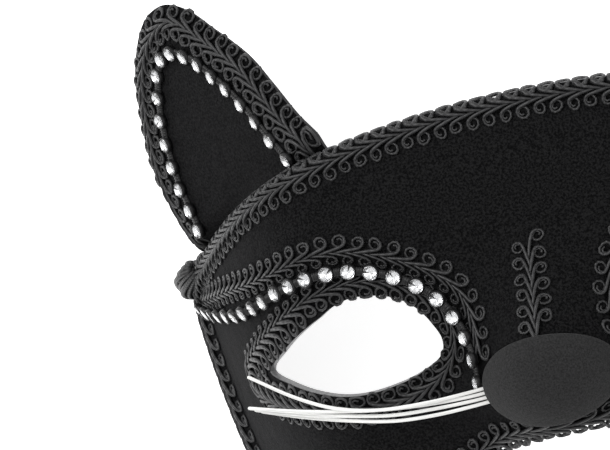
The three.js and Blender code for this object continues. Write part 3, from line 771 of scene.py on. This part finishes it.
def temple_bundle():
    """The cords of the gathered fold, drawn together at both its ends and a little twisted."""
    fine, gone = measured(face, left_edge)
    middle = gone[np.linalg.norm(fine - TEMPLE, axis=1).argmin()]
    along = np.linspace(-1, 1, BUNDLE_STEPS)
    swell = BUNDLE_END + (1 - BUNDLE_END) * np.sqrt(1 - along ** 2)
    cords = []
    for i in range(BUNDLE_CORDS):
        turn = 2 * math.pi * i / BUNDLE_CORDS + BUNDLE_TWIST * along * BUNDLE_HALF_LENGTH
        lump = swell * (1 + BUNDLE_LUMPS * math.sin(BUNDLE_LUMP_STEP * i))
        across = BUNDLE_CENTRE[0] + BUNDLE_HALF_WIDTH * lump * np.cos(turn)
        lift = BUNDLE_CENTRE[1] * swell + BUNDLE_HALF_HEIGHT * lump * np.sin(turn)
        at = np.column_stack([middle + along * BUNDLE_HALF_LENGTH, across, lift])
        centre = placed(along_run(face, fine, gone, False, at))
        cords.append(tube(centre, np.full(len(centre), BUNDLE_CORD_RADIUS * MM), CORD_SIDES))
    bm = bmesh.new()
    bm.from_mesh(together(cords))
    return bm


left_edge = [*TOP_EDGE, *map(rim_point, RIM_LEVELS), *BOTTOM_EDGE]
right_edge = [(-x, y) for x, y in left_edge[-2:0:-1]]
edge_braid = braid_on("edge_loop_braid", face, left_edge + right_edge, True, folded_over,
                      wide=(1, EDGE_LOOP_WIDE), thick=(1, EDGE_LOOP_THICK))
fitted(edge_braid, "braid", "edge_braid")
for hand, piece in pair("temple_fold", temple_bundle(), CORD):
    fitted(piece, "braid", "edge_braid")


# Braid round the eyes, over the brows and up the bridge of the nose
# Lengths of the same braid, glued flat on the velvet. Under the rhinestones the loops of two of
# them are pressed together, and round the eye hole the inner loops hang over its edge.
EYE_BRAID = [
    (-73.8, 11.4), (-68.4, 15.8), (-62.4, 19.2), (-55.4, 22.4), (-47.8, 25), (-40, 26),
    (-33.6, 25.1), (-28.2, 22.9), (-24, 19.6), (-21, 15.4), (-20, 10.8), (-21.4, 6.6),
    (-25.6, 2.6), (-31, 0.2), (-37, -1.1), (-45, -1.4), (-53, -0.8), (-61, 0.6),
    (-68, 2.6), (-73.4, 5.8),
]
BROW_BRAID = [
    (-87.4, 26.4), (-83.6, 27), (-79.4, 27.8), (-73.9, 28.7), (-67.4, 29.5), (-57.6, 31.2),
    (-50, 32.8), (-42.6, 33.2), (-35, 31.5), (-27, 28), (-20.6, 23.8), (-16.6, 19),
    (-14.9, 13.6), (-14.6, 8.6), (-15.2, 3.2),
]
BRIDGE_BRAID = [(0, 7.6), (0, 17), (0, 27)]
BROW_BRAID_START = 0.2
BRAID_PRESSED = 0.26
PRESSED_FROM = 2
PRESSED_FADE = 6
EYE_HANG = math.radians(60)
EYE_HANG_NOSE = math.radians(45)
EYE_STRETCH = 1.7
EYE_SHORTENED = 0.22
EYE_SHORTENED_BELOW = 18
EYE_SHORTENED_FADE = 6
EYE_NOSE_SIDE = -34
EYE_NOSE_FADE = 8
EYE_LOOP_WIDE = 1.25


def both_hands(stem, left, slot, node):
    """The left piece and its mirrored copy, each in place of its own solid."""
    fitted(left, slot, f"{node}_left")
    fitted(mirrored(left, f"{stem}_right"), slot, f"{node}_right")


def bent_into_hole(at, fine, gone):
    """The eye braid's inner loops hang down past the edge of the hole, less so towards the nose.

    They are drawn out where the hole is further off, and shortened at its corner by the nose. The
    outer loops are pressed narrower under the rhinestones.
    """
    far, across, lift = at.T
    here = at_lengths(fine, gone, far % gone[-1])
    hole = face(*smooth_path(EYE_HOLE, True).T)
    spine = face(*fine.T)
    apart = np.linalg.norm(spine[:, None] - hole[None], axis=-1)
    drop = (spine[:, 2] - hole[apart.argmin(1), 2]) / apart.min(1)
    room = np.interp(far % gone[-1], gone, apart.min(1))
    slope = np.arcsin(np.clip(np.interp(far % gone[-1], gone, drop), -1, 1))
    at_nose = smoothstep((here[:, 0] - EYE_NOSE_SIDE) / EYE_NOSE_FADE)
    hang = EYE_HANG - (EYE_HANG - EYE_HANG_NOSE) * at_nose
    pressed = 1 - BRAID_PRESSED * smoothstep((here[:, 1] - PRESSED_FROM) / PRESSED_FADE)
    across = np.where(across > 0, across * pressed, across)
    low_down = smoothstep((EYE_SHORTENED_BELOW - here[:, 1]) / EYE_SHORTENED_FADE)
    shortest = 1 - EYE_SHORTENED * at_nose * low_down
    stretched = np.clip(room / (LOOP_CENTRE + LOOP_RADIUS), shortest, EYE_STRETCH)
    across = np.where(across < 0, across * stretched, across)
    room = room + EYE_VELVET_OUTSET
    sideways, upwards = bent_down(across + room, lift, np.maximum(0, hang - slope))
    return np.column_stack([far, sideways - room, upwards])


def under_stones(at, fine, gone):
    """The brow braid's inner loops, pressed narrower under the rhinestones."""
    far, across, lift = at.T
    pressed = np.where(across > 0, across, across * (1 - BRAID_PRESSED))
    return np.column_stack([far, pressed, lift])


def left_flat(at, fine, gone):
    """The bridge braid lies as it is drawn."""
    return at


eye_braid = braid_on("eye_loop_braid_left", face, EYE_BRAID, True, bent_into_hole,
                     wide=(1, EYE_LOOP_WIDE))
both_hands("eye_loop_braid", eye_braid, "braid", "eye_braid")
brow_braid = braid_on("brow_loop_braid_left", face, BROW_BRAID, False, under_stones,
                      start=BROW_BRAID_START)
both_hands("brow_loop_braid", brow_braid, "braid", "brow_braid")
bridge_braid = braid_on("bridge_loop_braid", face, BRIDGE_BRAID, False, left_flat)
fitted(bridge_braid, "braid", "bridge_braid")


# Braid along the ears
# One length of the same braid on each ear, glued on from its inner foot over the tip to the
# temple. The outer loops reach the edge of the velvet.
EAR_BRAID_INSET = 2.9
EAR_LOOP_WIDE = 1.25
EAR_LOOP_THICK = 1.3
EAR_BRAID_START = 0
EAR_BRAID_STRIDE = 5
EAR_TRIM_CLEAR = 0.15
TEMPLE_PRESS_UP = 21.5
TEMPLE_PRESS_SLOPE = 0.03


def ear_braid_run():
    """A run inside the ear's outline, from the inner foot over the tip to the temple."""
    run = EAR_EDGE + EAR_BRAID_INSET * EAR_INWARDS
    return run[above_edge(*run.T) > EAR_BRAID_START][::-EAR_BRAID_STRIDE]


def over_ear(at, fine, gone):
    """Braid on the ear's sheet; near the temple its inner loops are pressed narrower."""
    far, across, lift = at.T
    here = at_lengths(fine, gone, np.clip(far, 0, gone[-1]))
    near = np.maximum(0, TEMPLE_PRESS_UP - above_edge(*here.T)) * (here[:, 0] < 0)
    across = np.where(across > 0, across, across * (1 - TEMPLE_PRESS_SLOPE * near))
    return np.column_stack([far, across, lift + EAR_THICKNESS / 2 + EAR_TRIM_CLEAR])


ear_braid = braid_on("ear_loop_braid_left", ear, ear_braid_run(), False, over_ear,
                     wide=(EAR_LOOP_WIDE, 1), thick=(EAR_LOOP_THICK, 1))
both_hands("ear_loop_braid", ear_braid, "braid", "ear_braid")


# Rhinestones
# Round cut glass, foiled silver behind, but with one facet black behind it: a painted dark
# reflection in the stone. Each is pressed into a cup of a black plastic band with ribbed links
# between its cups. The chain lies on the loops of the braid over the brow, and on the ears' velvet.
STONE_RADIUS = 1.6
TABLE_RADIUS = 1.15
TABLE_HEIGHT = 0.12
GIRDLE_HEIGHT = 0.06
PAVILION_DEPTH = 0.6
FACETS = 8
# Facets behind within this angle are black: a painted dark reflection in the stone.
PAINTED_REFLECTION_ANGLE = math.radians(22)
CUP_RADIUS = 1.85
CUP_HEIGHT = 1.15
CUP_SIDES = 16
CUP_PROFILE = (
    (1.0, 0), (CUP_RADIUS, 0), (CUP_RADIUS, 0.6), (CUP_RADIUS - 0.12, CUP_HEIGHT),
    (STONE_RADIUS - 0.02, CUP_HEIGHT + 0.1), (STONE_RADIUS - 0.06, CUP_HEIGHT - 0.1),
    (STONE_RADIUS + 0.04, CUP_HEIGHT - 0.3),
)
LINK_LENGTH = 2.9
LINK_HALF_WIDTH = 0.9
LINK_HEIGHT = 0.75
LINK_CROWN = 1.2
LINK_RIBS = 5
LINK_RIB_HEIGHT = 0.13
LINK_STEPS = 4
BROW_CHAIN_BASE = 1.25
EAR_CHAIN_BASE = EAR_THICKNESS / 2 + 0.15
STONE_WOBBLE = math.radians(2.5)
CHAIN_STEP = 0.2
TILTED_LIFT = -0.1
TILT = math.radians(20)
TEMPLE_TILT_FROM = -52
TEMPLE_TILT_FADE = 14
NOSE_TILT_FROM = -17.5
NOSE_TILT_FADE = 1.8
EAR_TILT = math.radians(16)
EAR_TILT_FROM = -20
EAR_TILT_FADE = 8
BROW_STONES = [
    (-87.8, 25), (-84.7, 24.4), (-81.8, 23.9), (-78.6, 23.7), (-75, 23.6), (-71.6, 23.6),
    (-68.1, 24), (-64.2, 24.9), (-60.4, 25.9), (-56.3, 27.2), (-52.2, 28.2), (-48.1, 28.9),
    (-43.7, 29.1), (-38.9, 28.7), (-34.2, 27.5), (-29.6, 25.5), (-25.3, 22.7), (-21.6, 19.1),
    (-18.6, 14.5), (-16.5, 9.7), (-15.7, 4.9), (-15.7, 0.1),
]
EAR_STONES = [
    (-26.5, 0.2), (-27.2, 4.9), (-28.1, 10), (-28.1, 15.2), (-27.5, 20.5), (-26.4, 25.9),
    (-24.3, 31), (-21.7, 35.7), (-18, 39), (-13.9, 39.9), (-9.5, 38.4), (-5.4, 35.8),
    (-1.8, 32.6), (1.8, 29.3), (5.1, 25.3), (8.1, 20.9), (11.1, 16.3), (14.4, 11.7),
]
random = np.random.default_rng(12)


def glass_material():
    """Clear polished glass."""
    return new_material("clear_glass", {
        "Roughness": 0, "Transmission Weight": 1, "IOR": 1.55, "Base Color": (0.98, 0.99, 1, 1),
    })[0]


def foil_material():
    """Vacuum-plated silver, with the faint unevenness of foil pressed behind a stone."""
    material, nodes, links, shader = new_material(
        "silver_foil", {"Roughness": 0.22, "Metallic": 1})
    where = nodes.new("ShaderNodeTexCoord").outputs["Object"]
    creases = noise(nodes, links, where, scale=900, detail=2, roughness=0.5)
    tinted(nodes, links, shader, creases, (0.35, 0.6),
           dark=(0.9, 0.9, 0.91), light=(1, 1, 1))
    bump(nodes, links, shader, creases, distance=0.00003, strength=0.2)
    return material


def band_material():
    """Soft black plastic with a satin skin."""
    material, nodes, links, shader = new_material(
        "black_band", {"Roughness": 0.38, "Specular IOR Level": 0.3})
    where = nodes.new("ShaderNodeTexCoord").outputs["Object"]
    scuffs = noise(nodes, links, where, scale=1400, detail=3, roughness=0.6)
    tinted(nodes, links, shader, scuffs, (0.35, 0.7),
           dark=(0.004, 0.004, 0.0043), light=(0.014, 0.014, 0.0145))
    bump(nodes, links, shader, scuffs, distance=0.0001, strength=0.3)
    return material


def cut_stone():
    """A table with eight sides, facets down to a girdle with sixteen, and a foiled point behind."""
    bm = bmesh.new()
    table = (FACETS, TABLE_RADIUS, TABLE_HEIGHT + GIRDLE_HEIGHT)
    girdle = ((2 * FACETS, STONE_RADIUS, GIRDLE_HEIGHT), (2 * FACETS, STONE_RADIUS, 0))
    for sides, radius, height in (table, *girdle):
        ring = bmesh.ops.create_circle(bm, segments=sides, radius=radius)["verts"]
        bmesh.ops.translate(bm, vec=(0, 0, height), verts=ring)
    bm.verts.new((0, 0, -PAVILION_DEPTH))
    bmesh.ops.convex_hull(bm, input=bm.verts)
    bmesh.ops.dissolve_limit(bm, angle_limit=math.radians(2), verts=bm.verts, edges=bm.edges)
    bmesh.ops.recalc_face_normals(bm, faces=bm.faces)
    for polygon in bm.faces:
        middle = polygon.calc_center_median()
        # One facet behind takes the black band's material, as a painted dark reflection.
        painted_reflection = 0 < math.atan2(middle.y, middle.x) < PAINTED_REFLECTION_ANGLE
        polygon.material_index = (1 + painted_reflection) * (middle.z < GIRDLE_HEIGHT)
    bmesh.ops.translate(bm, vec=(0, 0, CUP_HEIGHT - GIRDLE_HEIGHT), verts=bm.verts)
    return bm


def cup():
    """A plastic cup whose rim grips the stone's girdle."""
    bm = bmesh.new()
    corners = [bm.verts.new((radius, 0, height)) for radius, height in CUP_PROFILE]
    edges = [bm.edges.new(ends) for ends in zip(corners, corners[1:])]
    bmesh.ops.spin(bm, geom=corners + edges, axis=(0, 0, 1), cent=(0, 0, 0), dvec=(0, 0, 0),
                   angle=2 * math.pi, steps=CUP_SIDES, use_merge=True)
    bmesh.ops.recalc_face_normals(bm, faces=bm.faces)
    return bm


def link():
    """The strip between two cups, with ribs across it."""

    def point_at(along, across):
        ribs = LINK_RIB_HEIGHT * np.cos(along * LINK_RIBS * 2 * math.pi)
        height = LINK_HEIGHT - ribs - LINK_CROWN * (across - 0.5) ** 2
        return np.column_stack([
            (along - 0.5) * LINK_LENGTH, (across - 0.5) * 2 * LINK_HALF_WIDTH, height,
        ])

    bm = drawn_grid(LINK_RIBS * LINK_STEPS, LINK_STEPS, point_at)
    sides = bmesh.ops.extrude_edge_only(bm, edges=[edge for edge in bm.edges if edge.is_boundary])
    skirt = [corner for corner in sides["geom"] if isinstance(corner, bmesh.types.BMVert)]
    for corner in skirt:
        corner.co.z = 0
    bmesh.ops.recalc_face_normals(bm, faces=bm.faces)
    return bm


def set_along(name, shapes, places, *materials, flat=False):
    """Copies of the shapes, each turned and moved to its place, as one piece."""
    template = together(shapes)
    bm = bmesh.new()
    for place in places:
        before = len(bm.verts)
        bm.from_mesh(template)
        bm.verts.ensure_lookup_table()
        bmesh.ops.transform(bm, matrix=place, verts=bm.verts[before:])
    piece = finished(name, bm, *materials)
    if flat:
        piece.data.shade_flat()
    return piece


def chain_places(surface, points, base, tilt_at):
    """How each stone, each cup and each link stands on the surface.

    tilt_at says how far the chain leans over to its right there.
    """
    fine, gone = measured(surface, points)
    centres = gone[::CURVE_STEPS]

    def place(far, wobble, spin):
        u, v = at_lengths(fine, gone, np.array([far])).T
        ends = surface(*at_lengths(fine, gone, far + np.array([-CHAIN_STEP, CHAIN_STEP])).T)
        normal = Vector(normals(surface, u, v)[2][0])
        tilt = tilt_at(u[0])
        at = Vector(surface(u, v)[0]) + normal * (base + TILTED_LIFT * tilt / TILT)
        along = Vector(ends[1] - ends[0])
        along = (along - normal * along.dot(normal)).normalized()
        turned = Matrix((along, normal.cross(along), normal)).transposed().to_4x4()
        for angle, axis in ((wobble[0] + tilt, "X"), (wobble[1], "Y"), (spin, "Z")):
            turned = turned @ Matrix.Rotation(angle, 4, axis)
        moved = Matrix.Translation(Vector(placed(np.array(at)))) @ Matrix.Diagonal((MM, MM, MM, 1))
        return moved @ turned

    stones, cups, joins = [], [], []
    for far in centres:
        wobble = random.normal(0, STONE_WOBBLE, 2)
        stones.append(place(far, wobble, random.uniform(0, math.pi)))
        cups.append(place(far, wobble, 0))
    for far in (centres[1:] + centres[:-1]) / 2:
        joins.append(place(far, (0, 0), 0))
    return stones, cups, joins


GLASS = glass_material()
FOIL = foil_material()
BAND = band_material()


def brow_tilt(x):
    """The chain leans over at the temple, and again beside the nose."""
    temple = smoothstep((TEMPLE_TILT_FROM - x) / TEMPLE_TILT_FADE)
    return TILT * (temple + smoothstep((x - NOSE_TILT_FROM) / NOSE_TILT_FADE))


def ear_tilt(a):
    return EAR_TILT * smoothstep((a - EAR_TILT_FROM) / EAR_TILT_FADE)


chains = (
    ("brow", face, BROW_STONES, BROW_CHAIN_BASE, brow_tilt),
    ("ear", ear, EAR_STONES, EAR_CHAIN_BASE, ear_tilt),
)
for where, surface, points, base, tilt_at in chains:
    stones, cups, joins = chain_places(surface, points, base, tilt_at)
    cut = set_along(f"{where}_stones_left", [cut_stone()], stones, GLASS, FOIL, BAND, flat=True)
    both_hands(f"{where}_stones", cut, "rhinestones", f"{where}_rhinestones")
    settings = set_along(f"{where}_cups_left", [cup()], cups, BAND)
    both_hands(f"{where}_cups", settings, "rhinestones", f"{where}_rhinestones")
    strips = set_along(f"{where}_links_left", [link()], joins, BAND)
    both_hands(f"{where}_links", strips, "rhinestones", f"{where}_rhinestones")


# Nose pad
# An oval cut from thick dark grey felt, domed over the tip of the nose. It is glued in the
# middle and stands a little clear at its rim, where the whiskers come out.
PAD_CENTRE_Y = -1
PAD_HALF_WIDTH = 12.6
PAD_HALF_HEIGHT = 8
PAD_CLEAR = 2.8
PAD_GLUED = 0.3
PAD_GLUED_SPREAD = 0.4
PAD_FREE_SPREAD = 0.72
PAD_EDGE = 1
PAD_CROWN = 1.6
PAD_ROUND = 0.05
PAD_RIM_SHARE = 1.06
PAD_AROUND = 96
PAD_STEPS = 44


def felt_material():
    """Matted grey wool: light and dark fibres, and a nap that is uneven close up."""
    material, nodes, links, shader = new_material("grey_felt", {
        "Roughness": 0.95, "Specular IOR Level": 0.15, "Sheen Weight": 0.03, "Sheen Roughness": 0.6,
    })
    where = nodes.new("ShaderNodeTexCoord").outputs["Object"]
    fibres = noise(nodes, links, where, scale=2600, detail=4, roughness=0.7)
    tinted(nodes, links, shader, fibres, (0.36, 0.64),
           dark=(0.008, 0.008, 0.0082), light=(0.025, 0.025, 0.0254))
    lumps = noise(nodes, links, where, scale=700, detail=3, roughness=0.6)
    under = bump(nodes, links, shader, lumps, distance=0.0004, strength=0.5)
    bump(nodes, links, shader, fibres, distance=0.0002, strength=0.7, below=under)
    return material


def pad_profile(way):
    """From the middle of the top, way 0, round the rim and back to the middle below, way 1."""
    spread = np.clip((1 - np.abs(2 * way - 1)) * PAD_RIM_SHARE, 0, 1)
    past = np.clip((spread - 1 + PAD_ROUND) / PAD_ROUND, 0, 1)
    rounding = PAD_EDGE / 2 * (1 - np.sqrt(1 - past ** 2))
    top = PAD_CLEAR + PAD_EDGE + PAD_CROWN * (1 - spread ** 2) - rounding
    free = smoothstep((spread - PAD_GLUED_SPREAD) / (PAD_FREE_SPREAD - PAD_GLUED_SPREAD))
    below = PAD_GLUED + (PAD_CLEAR - PAD_GLUED) * free + rounding
    return spread, np.where(way < 0.5, top, below)


def pad_sheet():
    """The pad over the tip of the nose, as rings from its middle on top to its middle below."""

    def point_at(around, way):
        spread, lift = pad_profile(way)
        angle = around * 2 * math.pi
        x = PAD_HALF_WIDTH * spread * np.cos(angle)
        y = PAD_CENTRE_Y + PAD_HALF_HEIGHT * spread * np.sin(angle)
        return placed(face(x, y) + normals(face, x, y)[2] * lift[:, None])

    bm = drawn_grid(PAD_AROUND, PAD_STEPS, point_at)
    bmesh.ops.remove_doubles(bm, verts=bm.verts, dist=WELD)
    bmesh.ops.recalc_face_normals(bm, faces=bm.faces)
    return bm


fitted(finished("nose_pad_felt", pad_sheet(), felt_material()), "nose_foam", "nose_pad")


# Whiskers
# Four stiff bristles of white nylon on each side, glued under the rim of the nose pad. Each has
# a curve of its own, and its free end is melted round.
WHISKER_RADIUS = 0.38
WHISKER_SIDES = 10
WHISKER_STEPS = 60
WHISKER_TIP = (3, 1.5, 0.5, 0.1, 0)
WHISKER_TIP_LEAST = 0.0004
WHISKERS = [
    [(-11, -0.9, 61.1), (-13.6, -1, 59.9), (-18, -1.2, 61), (-27, -1.3, 63), (-37, -0.6, 64.4),
     (-46, 1.6, 64.6), (-54, 5.4, 64), (-63.9, 11.8, 62.4)],
    [(-11, -1.9, 60.7), (-13.6, -2, 59.7), (-18, -2.1, 60.8), (-27, -1.8, 61.8),
     (-37, -0.8, 62.8), (-47.7, 1, 63), (-57, 3, 62.4), (-65.7, 5.2, 61.4)],
    [(-11, -2.9, 60.6), (-13.6, -3, 59.6), (-18, -3.1, 60.6), (-26, -3, 61.4),
     (-35, -2.5, 61.8), (-45, -0.7, 61.7), (-55, 1.6, 61), (-64.9, 4.4, 59.8)],
    [(-11, -3.9, 60.4), (-13.6, -4, 59.5), (-18, -4.2, 60.3), (-26, -4.4, 60.6),
     (-35, -3.9, 60.6), (-45, -1.9, 60.2), (-55, 0.8, 59.4), (-64.1, 3.7, 58.2)],
]


def nylon_material():
    """White nylon drawn through a die, which leaves fine streaks along it."""
    material, nodes, links, shader = new_material("white_nylon", {
        "Roughness": 0.3, "Coat Weight": 0.2, "Subsurface Weight": 0.25,
        "Subsurface Radius": (0.0006, 0.0006, 0.0006),
    })
    where = nodes.new("ShaderNodeTexCoord").outputs["UV"]
    stretched = nodes.new("ShaderNodeMapping")
    stretched.inputs["Scale"].default_value = (3, 14, 1)
    links.new(where, stretched.inputs["Vector"])
    streaks = noise(nodes, links, stretched.outputs["Vector"], scale=1.0, detail=3, roughness=0.6)
    tinted(nodes, links, shader, streaks, (0.3, 0.62),
           dark=(0.5, 0.5, 0.49), light=(0.9, 0.9, 0.88))
    bump(nodes, links, shader, streaks, distance=0.00006, strength=0.4)
    return material


def bristle(points):
    """A round tube along the curve through the points, with its last end rounded off."""
    fine = smooth_path(points, False)
    gone = np.concatenate([[0], np.cumsum(np.linalg.norm(np.diff(fine, axis=0), axis=1))])
    far = np.linspace(0, gone[-1], WHISKER_STEPS + 1)
    far = np.concatenate([far[:-2], gone[-1] - np.array(WHISKER_TIP) * WHISKER_RADIUS])
    centre = np.stack([np.interp(far, gone, fine[:, k]) for k in range(3)], -1)
    left = np.clip((gone[-1] - far) / WHISKER_RADIUS, 0, 1)
    radius = WHISKER_RADIUS * np.sqrt(np.clip(1 - (1 - left) ** 2, WHISKER_TIP_LEAST, 1))
    return tube(placed(centre), radius * MM, WHISKER_SIDES)


NYLON = nylon_material()
for number, points in enumerate(WHISKERS, 1):
    for hand, piece in pair(f"nylon_whisker_{number}", bristle(points), NYLON):
        fitted(piece, "whisker_nylon", f"whisker_{hand}_{number}")


# Floor and light
# A plain white floor that glows a little, so that hardly a shadow shows on it, in even studio
# light with one soft light over the ears and a weaker one from the right.
FLOOR_HALF_SIZE = 3
FLOOR_GLOW = 0.76
STUDIO_LIGHT = 0.85
LIT_PLACE = (-0.03, 0, 0.04)

floor_bm = bmesh.new()
bmesh.ops.create_grid(floor_bm, x_segments=1, y_segments=1, size=FLOOR_HALF_SIZE)
floor_material = new_material("pale_floor", {
    "Roughness": 0.9, "Base Color": (0.9, 0.9, 0.9, 1),
    "Emission Color": (1, 1, 1, 1), "Emission Strength": FLOOR_GLOW,
})[0]
floor = finished("floor", floor_bm, floor_material)

world = bpy.data.worlds.new("studio")
world.use_nodes = True
world.node_tree.nodes["Background"].inputs["Color"].default_value = (1, 1, 1, 1)
world.node_tree.nodes["Background"].inputs["Strength"].default_value = STUDIO_LIGHT
bpy.context.scene.world = world
bpy.context.scene.view_settings.view_transform = "Standard"


def softbox(name, place, size, power):
    light = bpy.data.objects.new(name, bpy.data.lights.new(name, "AREA"))
    light.data.size = size
    light.data.energy = power
    light.location = place
    light.rotation_euler = (Vector(LIT_PLACE) - Vector(place)).to_track_quat("-Z", "Y").to_euler()
    bpy.context.collection.objects.link(light)


softbox("key_light", place=(-0.5, 0.55, 0.9), size=0.6, power=8)
softbox("fill_light", place=(0.8, -0.2, 0.8), size=0.8, power=2.5)
